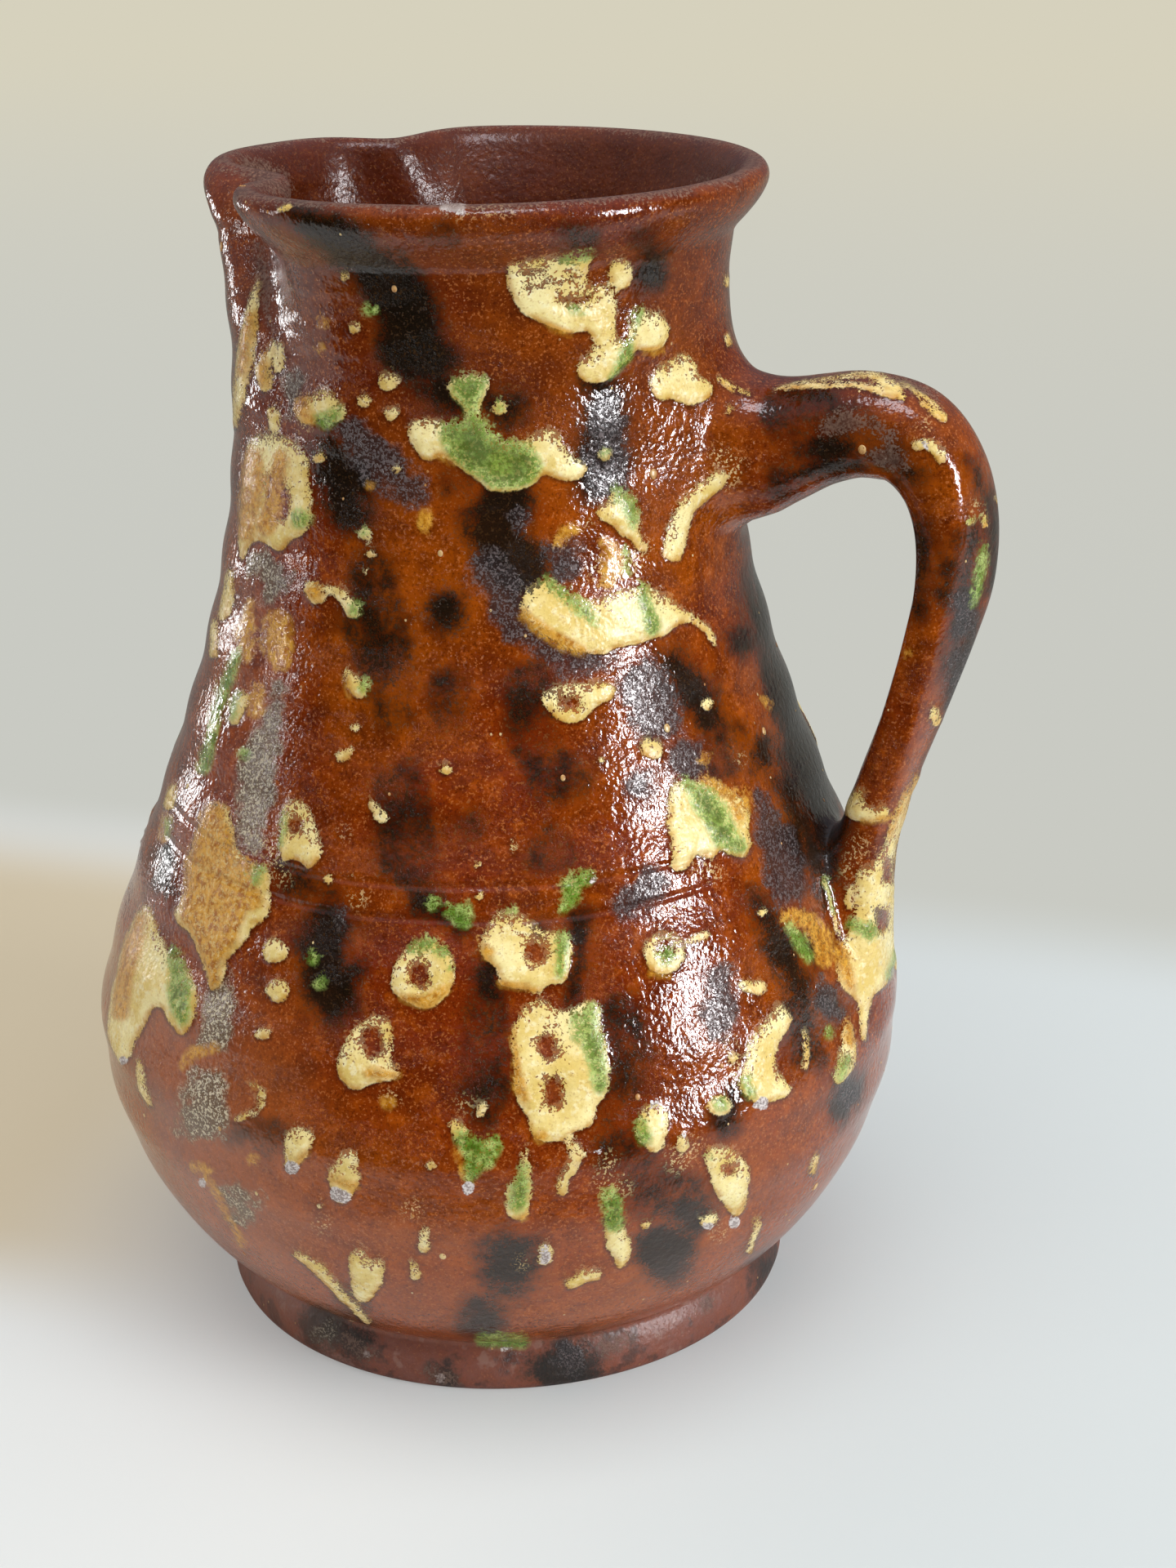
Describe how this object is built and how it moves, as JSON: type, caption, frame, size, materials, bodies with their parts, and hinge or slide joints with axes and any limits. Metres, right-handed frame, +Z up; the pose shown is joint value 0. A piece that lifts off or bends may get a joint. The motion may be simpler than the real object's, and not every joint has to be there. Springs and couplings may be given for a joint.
{
  "type": "ceramic jug",
  "caption": "Thrown earthenware jug with a flared, pinched spout, a pulled strap handle and splashes of raised cream, green and ochre slip on a red-brown glaze",
  "frame": {"origin": "centre of the foot's flat underside, on the table", "axes": "+Z up along the jug's turning axis, +X towards the handle, -X towards the spout"},
  "size_m": [0.1775, 0.16, 0.2235],
  "materials": {
    "jug": "glossy lead glaze over red clay with cream, green and ochre slip splashes, unglazed under the foot"
  },
  "bodies": {
    "root": {"jug": "jug"}
  },
  "joints": []
}
